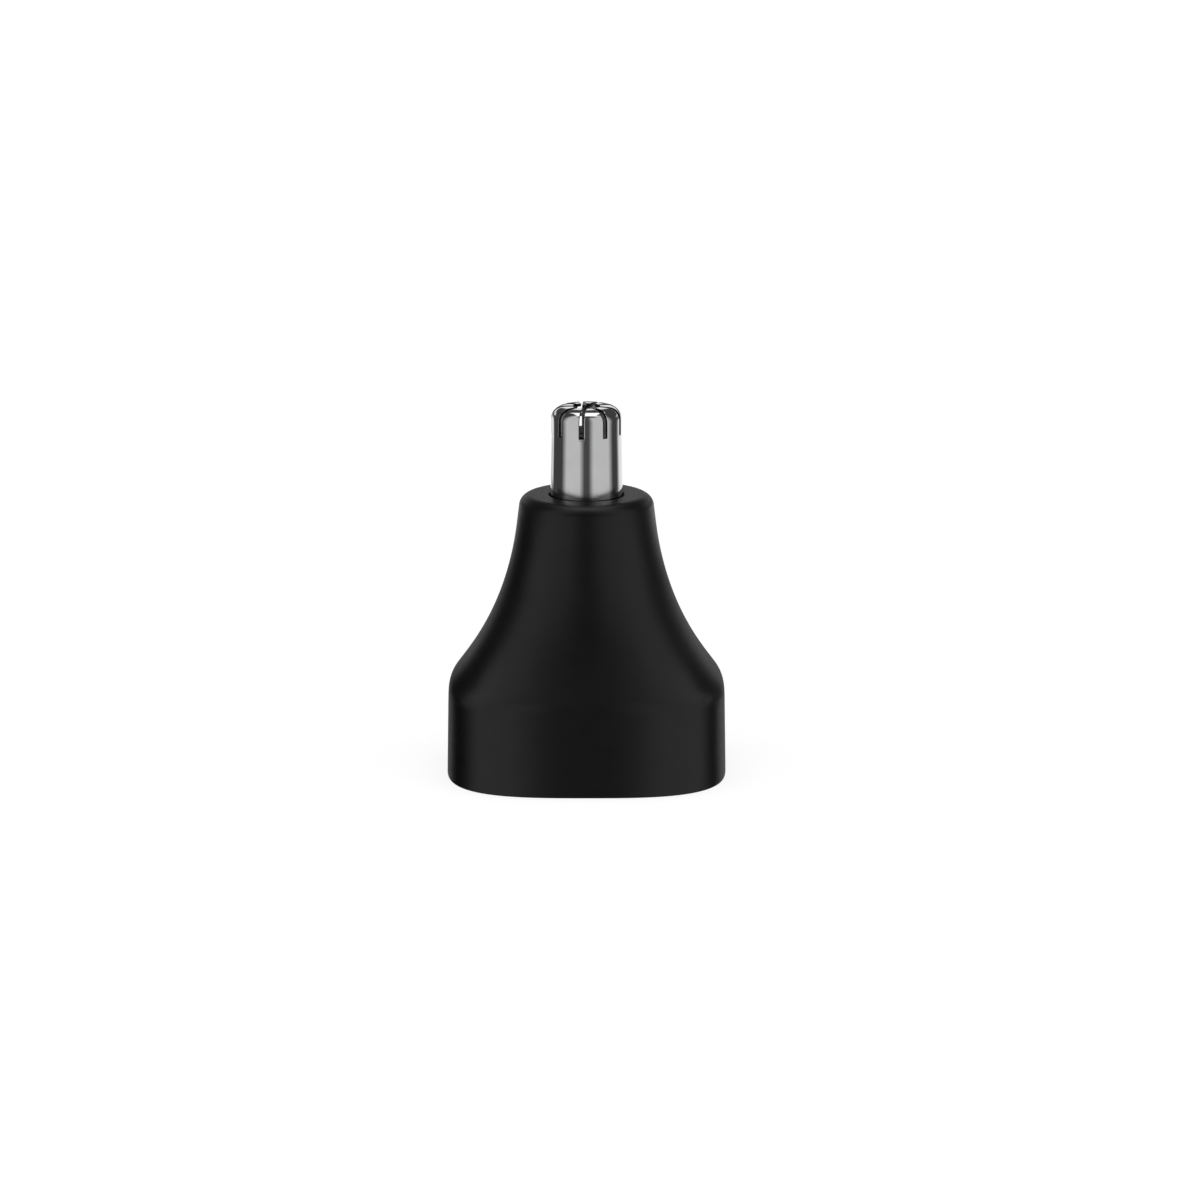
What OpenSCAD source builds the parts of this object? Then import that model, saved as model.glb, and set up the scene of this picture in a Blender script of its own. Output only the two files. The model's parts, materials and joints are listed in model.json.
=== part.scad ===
// Nose hair trimmer head that pushes onto the neck of an electric shaver handle.
// A flared plastic shell carries a slotted steel tip. Inside the tip a sprung blade
// turns on a spindle, which the handle drives from below through a small coupler.
// Units are millimetres. The origin is the centre of the base rim, with +Z up the tip.

/* [Shell] */
// Width of the base across its flat sides
base_w = 32; // [29:0.5:34]
// Height of the tip's platform above the base rim
platform_z = 32.2; // [31:0.2:36]
// Diameter of the platform, measured to its sharp corner
platform_d = 15.2; // [14.6:0.2:16.4]
// Rounding of the platform's edge
platform_edge_r = 1.4; // [0.4:0.1:2]
// Rounding of the base rim's outer edge
base_edge_r = 0.1; // [0.05:0.05:0.6]
// Height where the side wall and the slope would meet in a corner
shoulder_z = 10.1; // [9.8:0.1:11]
// Rounding of the shoulder between the side wall and the slope
shoulder_r = 4.4; // [2:0.2:6]
// Lean of the slope from upright, in degrees
slope_angle = 34.6; // [33:0.2:36]
// Radius of the hollow flare between the slope and the neck
flare_r = 36; // [20:1:40]
// Lean of the neck from upright, in degrees
neck_angle = 6.8; // [5:0.2:8]
// Draft of the side wall, in degrees
wall_draft = 0.7; // [0:0.1:1]
// Squareness of the base's outline, where 2 is a circle
base_squareness = 3.1; // [2.8:0.1:3.6]
// Drop below the shoulder where the outline starts to turn round
blend_drop = 2.2; // [1:0.1:3]
// Length of the neck below the platform that is fully round
round_neck_len = 8.4; // [6:0.2:10]
// Drop from the platform to the ceiling of the shell's cavity
ceiling_drop = 8.2; // [7.6:0.1:9]
// Thickness of the shell's wall
shell_wall = 1.6; // [1.2:0.1:2]
// Thickness of the platform
platform_t = 2; // [1.4:0.1:2.6]

/* [Tip] */
// Outer diameter of the slotted tip
tip_d = 8.1; // [7.6:0.1:8.6]
// Extra diameter at the tip's root, from which it tapers up
tip_taper = 0.3; // [0:0.05:0.5]
// Height of the straight band between the taper and the slots
straight_band = 0.3; // [0.1:0.1:1]
// Length of the tip above the platform
tip_len = 10.3; // [9.5:0.1:12]
// Thickness of the tip's sheet
tip_wall = 0.35; // [0.25:0.05:0.45]
// Rounding of the tip's top edge
tip_edge_r = 1.4; // [1.2:0.05:1.8]
// Number of slots in the tip
slot_count = 9; // [6:1:10]
// Width of each slot
slot_w = 0.6; // [0.4:0.05:0.7]
// Depth of the slots below the top of the tip
slot_len = 3.15; // [2.4:0.05:4]
// Turn of the first slot from the front, in degrees
slot_turn = -8; // [-20:0.5:20]
// Diameter of the hole in the middle of the tip's top
top_hole_d = 3.1; // [2.4:0.1:3.8]
// Width of the flange that holds the tip under the platform
flange_w = 1.1; // [0.8:0.05:1.4]
// Width of the two lugs that stop the flange from turning
lug_w = 1.6; // [1:0.1:2]
// Depth of the notches that the lugs stand in
lug_depth = 0.6; // [0.3:0.1:0.7]

/* [Handle socket] */
// Diameter of the socket that takes the handle's neck
socket_d = 21; // [19:0.5:23]
// Depth of the socket
socket_depth = 5.2; // [4.6:0.1:5.6]
// Height of the socket's mouth above the base rim
socket_inset = 0.8; // [0.4:0.1:1.2]
// Thickness of the socket's collar
collar_wall = 1.2; // [0.9:0.1:1.3]
// Lead-in at the socket's mouth
lead_in = 0.4; // [0.2:0.1:0.6]
// Depth of the groove that the handle's catch clicks into
catch_groove = 0.4; // [0.2:0.05:0.6]
// Width of that groove
catch_groove_w = 1; // [0.6:0.1:1.4]
// Width of the two slots that key the head to the handle
key_slot_w = 3; // [2:0.5:5]
// Depth of those slots from the socket's mouth
key_slot_len = 2.4; // [1.5:0.1:3]
// Thickness of the chassis plate
plate_t = 2.4; // [2:0.1:2.8]
// Thickness of the tower's wall around the coupler
tower_wall = 1.2; // [0.8:0.1:1.6]
// Reach of the tower's ribs along the plate
rib_reach = 3.5; // [2:0.5:5]
// Rise of the tower's ribs up the tower
rib_rise = 5; // [3:0.5:7]
// Thread diameter of the chassis screws
screw_d = 1.8; // [1.6:0.1:2]
// Length of the chassis screws under their heads
screw_len = 6; // [5:0.5:8]
// Diameter of the screw heads
screw_head_d = 3.2; // [2.8:0.1:3.6]
// Thickness of the screw heads
screw_head_t = 1.2; // [0.8:0.1:1.4]
// Diameter of the shell's screw bosses
boss_d = 4; // [3.4:0.1:4.4]

/* [Drive] */
// Diameter of the spindle
spindle_d = 2; // [1.6:0.1:2.4]
// Outer diameter of the two bushes
bush_d = 5; // [4.2:0.1:5.4]
// Length of each bush
bush_len = 3.6; // [3:0.1:4]
// Diameter of the drive coupler
coupler_d = 6.4; // [5.6:0.1:7]
// Length of the drive coupler
coupler_len = 6; // [5.4:0.1:6.4]
// Diameter of the coupler's socket for the handle's drive pin
drive_socket_d = 3; // [2.4:0.1:3.4]
// Depth of the coupler's socket
drive_socket_depth = 3.2; // [2.4:0.1:3.4]
// Width of the two key notches in the coupler's socket
drive_key_w = 0.75; // [0.5:0.05:0.9]
// Depth of those notches outside the socket
drive_key_h = 0.75; // [0.4:0.05:0.9]
// Plastic left between the coupler's socket and the spindle
coupler_web = 0.4; // [0.3:0.1:0.6]
// Diameter of the cross pin in the coupler
cross_pin_d = 0.9; // [0.6:0.1:1]
// Distance that the drive can be pressed down against its spring
float_travel = 0.8; // [0.4:0.1:0.9]
// Length of the clamp sleeve that holds the tip
clamp_len = 8; // [7.6:0.1:8.6]
// Length of the spring as fitted
spring_len = 3.2; // [2.8:0.1:3.6]
// Diameter of the spring's wire
spring_wire_d = 0.36; // [0.25:0.01:0.4]
// Mean diameter of the spring's coils
spring_d = 4; // [3.6:0.1:4.4]
// Number of turns in the spring
spring_turns = 3.5; // [2.5:0.5:3.5]
// Diameter of the washers
washer_d = 5.4; // [4.8:0.1:6]
// Thickness of the washers
washer_t = 0.3; // [0.2:0.05:0.4]
// Thickness of the push-on retaining ring
ring_t = 0.3; // [0.2:0.05:0.4]
// Reach of the retaining ring outside the spindle
ring_w = 1.2; // [0.9:0.1:1.4]
// Length of the slits between the ring's teeth
ring_slit_len = 0.6; // [0.4:0.1:0.7]
// Width of those slits
ring_slit_w = 0.25; // [0.2:0.05:0.35]

/* [Blade] */
// Length of the blade carrier
carrier_len = 9.3; // [8:0.1:9.6]
// Thickness of the blade's sheet
blade_t = 0.35; // [0.25:0.05:0.45]
// Width of the blade's two prongs
blade_w = 2.2; // [1.6:0.1:2.8]
// Distance of the blade's curled tops outside the tip's top hole
blade_hook_lap = 0.3; // [0.1:0.05:0.5]
// Turn of the blade at rest, in degrees
blade_turn = 42; // [0:0.5:180]
// Diameter of the blade's rivet
rivet_d = 1.2; // [0.8:0.1:1.4]
// Depth of the rivet in the carrier
rivet_len = 2; // [1.5:0.1:2.4]
// Diameter of the rivet's head
rivet_head_d = 2; // [1.6:0.1:2.2]
// Thickness of the rivet's head
rivet_head_t = 0.4; // [0.3:0.05:0.5]
// Plastic left between the rivet and the spindle
carrier_web = 0.5; // [0.3:0.1:1]

/* [Fits] */
// Clearance of each piece that is pressed into its seat
press_gap = 0.01; // [0.005:0.005:0.02]
// Clearance of the spindle in its bushes
run_gap = 0.03; // [0.01:0.005:0.06]
// Clearance between the blade and the tip
blade_gap = 0.08; // [0.05:0.01:0.12]
// Clearance between moulded pieces
mould_gap = 0.15; // [0.1:0.05:0.2]
// Clearance between the blade carrier and the tip
carrier_gap = 0.3; // [0.2:0.05:0.4]
// Clearance around the coupler and the ring in the chassis
drive_gap = 0.4; // [0.3:0.05:0.5]
// Clearance of the washers on the spindle
washer_gap = 0.1; // [0.05:0.05:0.2]
// Clearance of the screws in the chassis
screw_gap = 0.2; // [0.1:0.05:0.3]
// Relief at the closed end of a bore, and over a sunk face
bore_relief = 0.1; // [0.05:0.05:0.2]
// Clearance around the tip in the platform's hole
tip_gap = 0.15; // [0.1:0.05:0.3]
// End play between turning and fixed faces
end_play = 0.07; // [0.04:0.01:0.1]

/* [Hidden] */

$fn = 96;
// Overshoot of a cut past the face that it opens
cut = 1;
// Sides of the shell's loft
loft_sides = 64;

// Heights between which the outline turns from squarish to round
square_until_z = shoulder_z - blend_drop;
round_from_z = platform_z - round_neck_len;

// Height of the flat ceiling of the shell's cavity
cavity_top_z = platform_z - ceiling_drop;

// Heights of the stack from the socket up to the lower bush
plate_z = socket_inset + socket_depth;
plate_top_z = plate_z + plate_t;
coupler_z = plate_z + float_travel + 2 * bore_relief;
coupler_top_z = coupler_z + coupler_len;
coupler_washer_z = coupler_top_z + press_gap;
lower_bush_z = coupler_washer_z + washer_t + end_play;
lower_bush_top_z = lower_bush_z + bush_len;
ring_z = lower_bush_top_z + float_travel + end_play;

// Heights of the stack under the platform
tip_top_z = platform_z + tip_len;
platform_under_z = platform_z - platform_t;
flange_z = platform_under_z - tip_wall;
slot_z = tip_top_z - slot_len;
taper_top_z = slot_z - straight_band;
clamp_z = flange_z - clamp_len;
seat_z = clamp_z + bush_len;
spring_z = seat_z + washer_t;
thrust_z = spring_z + spring_len;
carrier_z = thrust_z + washer_t + end_play;
carrier_top_z = carrier_z + carrier_len;

// Radii that follow from the driving sizes
tip_r = tip_d / 2;
tip_root_r = tip_r + tip_taper / 2;
flange_r = tip_root_r + flange_w;
neck_bore_r = flange_r + mould_gap;
clamp_r = neck_bore_r - mould_gap;
spindle_r = spindle_d / 2;
bush_r = bush_d / 2;
coupler_r = coupler_d / 2;
coupler_bore_r = coupler_r + drive_gap;
tower_r = coupler_bore_r + tower_wall;
ring_r = spindle_r + ring_w;
ring_room_r = ring_r + drive_gap;
carrier_r = tip_r - tip_wall - carrier_gap;
socket_r = socket_d / 2;
collar_r = socket_r + collar_wall;
washer_bore_r = spindle_r + washer_gap;
washer_r = washer_d / 2;
spring_r = spring_d / 2;

// Blade's own outline, which follows the inside of the tip
blade_r = tip_r - tip_wall - blade_gap;
blade_top_z = tip_top_z - tip_wall - blade_gap;
blade_edge_r = tip_edge_r - tip_wall - blade_gap;
blade_hook_r = top_hole_d / 2 + blade_hook_lap;
rivet_r = rivet_d / 2;
rivet_head_r = rivet_head_d / 2;

// Ends of the spindle in the coupler and in the blade carrier
carrier_bore_len = carrier_len - blade_t - rivet_len - carrier_web;
spindle_z = coupler_z + drive_socket_depth + coupler_web;
spindle_top_z = carrier_z + carrier_bore_len - bore_relief;
cross_pin_z = (spindle_z + coupler_top_z) / 2;

// Screws stand midway between the tower and the socket's wall, with their heads sunk in the plate
screw_circle_r = (tower_r + socket_r) / 2;
screw_seat_z = plate_z + screw_head_t + bore_relief;
pilot_top_z = screw_seat_z + screw_len + bore_relief;

// Outline of the shell, as [half width, height] pairs up one side

function cross2(a, b) = a.x * b.y - a.y * b.x;

// Where the line through p along d meets the line through q along e
function meet(p, d, q, e) = p + d * (cross2(q - p, e) / cross2(d, e));

// Direction up a line that leans inwards from upright
function lean(angle) = [-sin(angle), cos(angle)];

// Arc that rounds corner c, arriving along d and leaving along e
function rounded(c, d, e, r, steps) =
    let (turn = acos(d * e), side = sign(cross2(d, e)))
    let (start = c - d * r * tan(turn / 2))
    let (centre = start + side * r * [-d.y, d.x])
    let (first = atan2(start.y - centre.y, start.x - centre.x))
    [for (i = [0:steps]) let (a = first + side * turn * i / steps) centre + r * [cos(a), sin(a)]];

base_corner = [base_w / 2, 0];
platform_corner = [platform_d / 2, platform_z];
shoulder_corner = meet(base_corner, lean(wall_draft), [0, shoulder_z], [1, 0]);
flare_corner = meet(shoulder_corner, lean(slope_angle), platform_corner, lean(neck_angle));

outline = concat(
    rounded(base_corner, [1, 0], lean(wall_draft), base_edge_r, 2),
    rounded(shoulder_corner, lean(wall_draft), lean(slope_angle), shoulder_r, 5),
    rounded(flare_corner, lean(slope_angle), lean(neck_angle), flare_r, 8),
    rounded(platform_corner, lean(neck_angle), [-1, 0], platform_edge_r, 5)
);
half_width_by_height = [for (p = outline) [p.y, p.x]];

function shell_half_width(z) = lookup(z, half_width_by_height);

// Half width inside the shell's wall, which is measured square to the outer face
function cavity_half_width(z) =
    let (step = 0.2)
    let (slope = (shell_half_width(z + step) - shell_half_width(z - step)) / (2 * step))
    shell_half_width(z) - shell_wall * sqrt(1 + slope * slope);

// Squareness of the outline at a height, from the base's down to a circle
function squareness(z) =
    let (share = min(1, max(0, (z - square_until_z) / (round_from_z - square_until_z))))
    let (blend = share * share * (3 - 2 * share))
    base_squareness + (2 - base_squareness) * blend;

// Points of a squarish round outline
function squircle(half_width, n) = [
    for (i = [0:loft_sides - 1])
    let (a = 360 * i / loft_sides)
    let (r = half_width / pow(pow(abs(cos(a)), n) + pow(abs(sin(a)), n), 1 / n))
    r * [cos(a), sin(a)]
];

// Shared shapes

// Solid through a stack of rings, each with as many points
module loft(rings) {
    sides = len(rings[0]);
    top = len(rings) - 1;
    points = [for (ring = rings) each ring];
    walls = [
        for (k = [0:top - 1], i = [0:sides - 1])
        let (a = k * sides + i, b = k * sides + (i + 1) % sides)
        each [[a, a + sides, b], [b, a + sides, b + sides]]
    ];
    caps = [[for (i = [0:sides - 1]) i], [for (i = [sides - 1:-1:0]) top * sides + i]];
    polyhedron(points, concat(walls, caps));
}

function ring_at(half_width, n, z) = [for (p = squircle(half_width, n)) [p.x, p.y, z]];

// Tube between two heights
module tube(outer_r, inner_r, z, length) {
    translate([0, 0, z]) difference() {
        cylinder(r = outer_r, h = length);
        translate([0, 0, -cut]) cylinder(r = inner_r, h = length + 2 * cut);
    }
}

// Half section of a cup's outside, with its top edge rounded
module cup_half(r, top, edge_r) {
    square([r - edge_r, top]);
    square([r, top - edge_r]);
    translate([r - edge_r, top - edge_r]) circle(r = edge_r);
}

// Copies at the four screws
module at_screws() {
    for (a = [45:90:315]) rotate([0, 0, a]) translate([screw_circle_r, 0, 0]) children();
}

// Pieces of the housing

module housing_shell() {
    color("#1b1b1c") difference() {
        loft([for (p = outline) ring_at(p.x, squareness(p.y), p.y)]);
        difference() {
            cavity();
            at_screws() translate([0, 0, plate_top_z])
                cylinder(d = boss_d, h = cavity_top_z - plate_top_z + cut);
        }
        translate([0, 0, clamp_z - mould_gap])
            cylinder(r = neck_bore_r, h = platform_under_z - clamp_z + mould_gap);
        translate([0, 0, platform_under_z - cut])
            cylinder(r = tip_root_r + tip_gap, h = platform_t + 2 * cut);
        at_screws() translate([0, 0, plate_top_z - cut])
            cylinder(d = screw_d + 2 * press_gap, h = pilot_top_z - plate_top_z + cut);
    }
}

// Hollow inside the shell, open at the base
module cavity() {
    mouth = cavity_half_width(1);
    steps = 6;
    slope_step = (cavity_top_z - shoulder_z) / steps;
    levels = [1, plate_top_z, for (i = [0:steps]) shoulder_z + i * slope_step];
    loft(concat(
        [ring_at(mouth, base_squareness, -cut)],
        [for (z = levels) ring_at(cavity_half_width(z), squareness(z), z)]
    ));
}

// Half section of the tip's outside, or of a face inset from it
module tip_half(inset) {
    root_r = tip_root_r - inset;
    cup_half(tip_r - inset, tip_top_z - inset, tip_edge_r - inset);
    polygon([[0, 0], [root_r, 0], [root_r, flange_z], [tip_r - inset, taper_top_z], [0, taper_top_z]]);
}

module outer_cutter() {
    color("#c9cacc") difference() {
        rotate_extrude() difference() {
            union() {
                intersection() {
                    tip_half(0);
                    translate([0, flange_z]) square([tip_root_r, tip_top_z]);
                }
                translate([0, flange_z]) square([flange_r, tip_wall]);
            }
            tip_half(tip_wall);
            square([top_hole_d / 2, tip_top_z + cut]);
        }
        flange_keys(lug_depth, lug_w);
        for (i = [0:slot_count - 1])
            rotate([0, 0, -90 + slot_turn + i * 360 / slot_count])
                translate([(top_hole_d - slot_w) / 2, -slot_w / 2, slot_z])
                    cube([tip_r, slot_w, slot_len + cut]);
    }
}

// Blocks at the flange's rim on both sides, reaching in from it
module flange_keys(depth, width) {
    for (a = [0, 180]) rotate([0, 0, a])
        translate([flange_r - depth, -width / 2, flange_z - press_gap])
            cube([depth + cut, width, tip_wall + 2 * press_gap]);
}

module cutter_clamp() {
    room_r = tip_r - tip_wall;
    color("#2b2c2e") {
        difference() {
            tube(clamp_r, bush_r + press_gap, clamp_z, clamp_len);
            translate([0, 0, seat_z]) cylinder(r = room_r, h = clamp_len);
        }
        intersection() {
            flange_keys(lug_depth - bore_relief, lug_w - 2 * bore_relief);
            cylinder(r = clamp_r, h = platform_under_z - press_gap);
        }
    }
}

module bush(z) {
    color("#a8793f") tube(bush_r, spindle_r + run_gap, z, bush_len);
}

module upper_bush() {
    bush(clamp_z);
}

module lower_bush() {
    bush(lower_bush_z);
}

module chassis() {
    color("#242527") difference() {
        union() {
            chassis_plate();
            tube(collar_r, socket_r, socket_inset, socket_depth + press_gap);
            translate([0, 0, plate_top_z - press_gap])
                cylinder(r = tower_r, h = clamp_z - plate_top_z + press_gap);
            for (a = [0:90:270]) rotate([0, 0, a]) tower_rib();
        }
        translate([0, 0, plate_z - cut]) cylinder(r = coupler_bore_r, h = lower_bush_z - plate_z + cut);
        translate([0, 0, lower_bush_z - cut]) cylinder(r = bush_r + press_gap, h = bush_len + 2 * cut);
        translate([0, 0, lower_bush_top_z]) cylinder(r = ring_room_r, h = clamp_z - lower_bush_top_z + cut);
        at_screws() {
            translate([0, 0, plate_z - cut]) cylinder(d = screw_d + 2 * screw_gap, h = plate_t + 2 * cut);
            translate([0, 0, plate_z - cut])
                cylinder(d = screw_head_d + 2 * screw_gap, h = screw_seat_z - plate_z + cut);
        }
        socket_cuts();
    }
}

// Plate that closes the shell from below
module chassis_plate() {
    half_width = cavity_half_width(plate_top_z) - mould_gap;
    translate([0, 0, plate_z]) linear_extrude(plate_t) polygon(squircle(half_width, base_squareness));
}

// Gusset between the plate and the tower
module tower_rib() {
    sunk = tower_wall / 2;
    translate([tower_r - sunk, sunk, plate_top_z]) rotate([90, 0, 0]) linear_extrude(tower_wall)
        polygon([[0, -press_gap], [sunk + rib_reach, -press_gap], [sunk, rib_rise], [0, rib_rise]]);
}

// Lead-in, catch groove and key slots of the handle's socket
module socket_cuts() {
    translate([0, 0, socket_inset - press_gap])
        cylinder(r1 = socket_r + lead_in, r2 = socket_r, h = lead_in + press_gap);
    translate([0, 0, socket_inset + socket_depth / 2])
        cylinder(r = socket_r + catch_groove, h = catch_groove_w);
    translate([-collar_r - cut, -key_slot_w / 2, socket_inset - cut])
        cube([2 * (collar_r + cut), key_slot_w, key_slot_len + cut]);
}

module chassis_screws() {
    color("#b9babb") at_screws() translate([0, 0, screw_seat_z]) chassis_screw();
}

// Pan head screw, pointing up, with a cross recess
module chassis_screw() {
    recess_w = screw_head_d / 6;
    recess_len = screw_head_d * 0.6;
    recess_depth = screw_head_t / 2;
    edge_r = screw_head_t / 3;
    difference() {
        union() {
            rotate([180, 0, 0]) rotate_extrude() intersection() {
                cup_half(screw_head_d / 2, screw_head_t, edge_r);
                square(screw_head_d);
            }
            cylinder(d = screw_d, h = screw_len);
        }
        for (a = [45, 135]) rotate([0, 0, a])
            translate([-recess_len / 2, -recess_w / 2, -screw_head_t - cut])
                cube([recess_len, recess_w, recess_depth + cut]);
    }
}

// Sprung pieces under the blade carrier

module washer(z) {
    color("#c4c6c8") tube(washer_r, washer_bore_r, z, washer_t);
}

module spring_seat() {
    washer(seat_z);
}

module thrust_washer() {
    washer(thrust_z);
}

// Point on the spring's centreline after a number of turns
spring_rise = spring_len - spring_wire_d - 2 * press_gap;
function coil_point(turn) = [
    spring_r * cos(360 * turn),
    spring_r * sin(360 * turn),
    spring_z + press_gap + spring_wire_d / 2 + spring_rise * turn / spring_turns
];

// Ring of the wire's outline, square to the coil
function coil_ring(turn, sides) =
    let (a = 360 * turn, outward = [cos(a), sin(a), 0])
    let (along = [-sin(a), cos(a), 0] * 2 * PI * spring_r + [0, 0, spring_rise / spring_turns])
    let (across = cross(outward, along) / norm(along))
    [for (i = [0:sides - 1]) let (b = 360 * i / sides)
        coil_point(turn) + spring_wire_d / 2 * (cos(b) * outward - sin(b) * across)];

module thrust_spring() {
    rings_per_turn = 16;
    wire_sides = 6;
    rings = round(spring_turns * rings_per_turn);
    color("#9a9c9f") loft([for (k = [0:rings]) coil_ring(k / rings_per_turn, wire_sides)]);
    least_gap = norm(coil_point(1) - coil_point(0)) - spring_wire_d;
    echo(least_gap_between_coils = least_gap);
}

// Turning pieces

module spindle() {
    color("#c2c4c6") difference() {
        translate([0, 0, spindle_z]) cylinder(r = spindle_r, h = spindle_top_z - spindle_z);
        translate([0, 0, cross_pin_z]) rotate([0, 90, 0])
            cylinder(d = cross_pin_d + 2 * press_gap, h = coupler_d, center = true);
    }
}

module blade_carrier() {
    color("#2b2c2e") difference() {
        translate([0, 0, carrier_z]) cylinder(r = carrier_r, h = carrier_len);
        translate([0, 0, carrier_z - cut])
            cylinder(r = spindle_r + press_gap, h = carrier_bore_len + cut);
        rotate([0, 0, blade_turn])
            translate([-tip_r, -blade_w / 2 - press_gap, carrier_top_z - blade_t - press_gap])
                cube([2 * tip_r, blade_w + 2 * press_gap, blade_t + cut]);
        translate([0, 0, carrier_top_z - blade_t - rivet_len])
            cylinder(r = rivet_r + press_gap, h = rivet_len + cut);
    }
}

// Strip bent up into two prongs, whose tops curl in along the inside of the tip
module inner_blade() {
    web_z = carrier_top_z - blade_t;
    color("#aeb0b3") rotate([0, 0, blade_turn]) difference() {
        intersection() {
            union() {
                rotate_extrude() difference() {
                    cup_half(blade_r, blade_top_z, blade_edge_r);
                    cup_half(blade_r - blade_t, blade_top_z - blade_t, blade_edge_r - blade_t);
                    square([blade_hook_r, tip_top_z]);
                    square([tip_r, web_z]);
                }
                translate([0, 0, web_z]) cylinder(r = blade_r, h = blade_t);
            }
            translate([-tip_r, -blade_w / 2, web_z]) cube([2 * tip_r, blade_w, tip_top_z]);
        }
        translate([0, 0, web_z - cut]) cylinder(r = rivet_r + press_gap, h = blade_t + 2 * cut);
    }
}

module blade_rivet() {
    shank_z = carrier_top_z - blade_t - rivet_len + press_gap;
    edge_r = rivet_head_t / 2;
    color("#2b2c2e") {
        translate([0, 0, shank_z]) cylinder(r = rivet_r, h = carrier_top_z - shank_z + press_gap);
        translate([0, 0, carrier_top_z + press_gap]) rotate_extrude() intersection() {
            cup_half(rivet_head_r, rivet_head_t, edge_r);
            square(rivet_head_r);
        }
    }
}

module drive_coupler() {
    key_reach = drive_socket_d / 2 + drive_key_h;
    color("#d9d7cf") difference() {
        translate([0, 0, coupler_z]) cylinder(r = coupler_r, h = coupler_len);
        translate([0, 0, coupler_z - cut]) cylinder(d = drive_socket_d, h = drive_socket_depth + cut);
        translate([-key_reach, -drive_key_w / 2, coupler_z - cut])
            cube([2 * key_reach, drive_key_w, drive_socket_depth + cut]);
        translate([0, 0, spindle_z - press_gap]) cylinder(r = spindle_r + press_gap, h = coupler_len);
        translate([0, 0, cross_pin_z]) rotate([0, 90, 0])
            cylinder(d = cross_pin_d + 2 * press_gap, h = coupler_d + 2 * cut, center = true);
    }
}

module coupler_pin() {
    pin_len = coupler_d - 2 * mould_gap;
    color("#c2c4c6") translate([0, 0, cross_pin_z]) rotate([0, 90, 0])
        cylinder(d = cross_pin_d, h = pin_len, center = true);
}

module coupler_washer() {
    color("#efede6") tube(washer_r, washer_bore_r, coupler_washer_z, washer_t);
}

// Ring that is pushed onto the spindle, with teeth that grip it
module retaining_ring() {
    teeth = 6;
    grip_r = spindle_r + press_gap;
    color("#8d9094") difference() {
        tube(ring_r, grip_r, ring_z, ring_t);
        for (a = [0:360 / teeth:359]) rotate([0, 0, a])
            translate([0, -ring_slit_w / 2, ring_z - cut])
                cube([grip_r + ring_slit_len, ring_slit_w, ring_t + 2 * cut]);
    }
}

housing_shell();
outer_cutter();
cutter_clamp();
upper_bush();
chassis();
lower_bush();
chassis_screws();
spring_seat();
thrust_spring();
thrust_washer();
spindle();
blade_carrier();
inner_blade();
blade_rivet();
drive_coupler();
coupler_pin();
coupler_washer();
retaining_ring();
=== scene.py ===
import json
import math

import bmesh
import bpy
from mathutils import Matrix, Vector


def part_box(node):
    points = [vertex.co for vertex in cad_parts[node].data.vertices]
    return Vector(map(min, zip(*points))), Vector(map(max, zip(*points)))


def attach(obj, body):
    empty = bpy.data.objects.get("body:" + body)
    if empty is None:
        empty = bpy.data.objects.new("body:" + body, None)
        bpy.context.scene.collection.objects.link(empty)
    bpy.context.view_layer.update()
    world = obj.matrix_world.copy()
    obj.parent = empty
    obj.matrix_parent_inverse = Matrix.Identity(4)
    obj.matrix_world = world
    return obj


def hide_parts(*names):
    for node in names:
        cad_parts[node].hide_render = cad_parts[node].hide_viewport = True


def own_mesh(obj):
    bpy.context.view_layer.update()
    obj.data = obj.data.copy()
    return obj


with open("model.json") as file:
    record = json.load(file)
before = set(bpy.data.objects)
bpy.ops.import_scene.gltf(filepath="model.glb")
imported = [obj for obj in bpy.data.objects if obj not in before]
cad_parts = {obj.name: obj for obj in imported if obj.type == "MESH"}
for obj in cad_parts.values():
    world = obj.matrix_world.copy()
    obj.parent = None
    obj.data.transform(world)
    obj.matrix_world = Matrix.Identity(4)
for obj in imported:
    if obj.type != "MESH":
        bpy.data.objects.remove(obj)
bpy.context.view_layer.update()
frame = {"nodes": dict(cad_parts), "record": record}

MM = 0.001


def in_mm(metres):
    """Metres as mm, without the noise of single precision."""
    return round(metres / MM, 4)


def lowest(node):
    """Lowest z of a CAD node, in metres."""
    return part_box(node)[0].z


def highest(node):
    """Highest z of a CAD node, in metres."""
    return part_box(node)[1].z


# Heights, a length and a travel in mm, from the frame
PLATFORM_Z = in_mm(highest("housing_shell"))
FLANGE_Z = in_mm(lowest("outer_cutter"))
TIP_TOP_Z = in_mm(highest("outer_cutter"))
SPRING_Z = in_mm(highest("spring_seat"))
SPRING_LEN = in_mm(lowest("thrust_washer") - highest("spring_seat"))

# Lengths in mm and angles in degrees, as in the part's source
BASE_W = 32.0
BASE_EDGE_R = 0.1
WALL_DRAFT = 0.7
SHOULDER_Z = 10.1
SHOULDER_R = 4.4
SLOPE_ANGLE = 34.6
FLARE_R = 36.0
NECK_ANGLE = 6.8
PLATFORM_D = 15.2
PLATFORM_T = 2.0
PLATFORM_EDGE_R = 1.4
BASE_SQUARENESS = 3.1
SQUARE_UNTIL_Z = 7.9
ROUND_FROM_Z = 23.8
SHELL_WALL = 1.6
CAVITY_TOP_Z = 24.0
MOUTH_Z = 1.0
NECK_BORE_R = 5.45
PLATE_TOP_Z = 8.4
BOSS_TURNS = (45, 135, 225, 315)
BOSS_R = 2.0
BOSS_CIRCLE_R = 7.65
PILOT_R = 0.91
PILOT_TOP_Z = 13.4
TIP_R = 4.05
TIP_ROOT_R = 4.2
TIP_WALL = 0.35
TIP_GAP = 0.15
TIP_EDGE_R = 1.4
TAPER_TOP_Z = 39.05
SLOT_Z = 39.35
TOP_HOLE_R = 1.55
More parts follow.
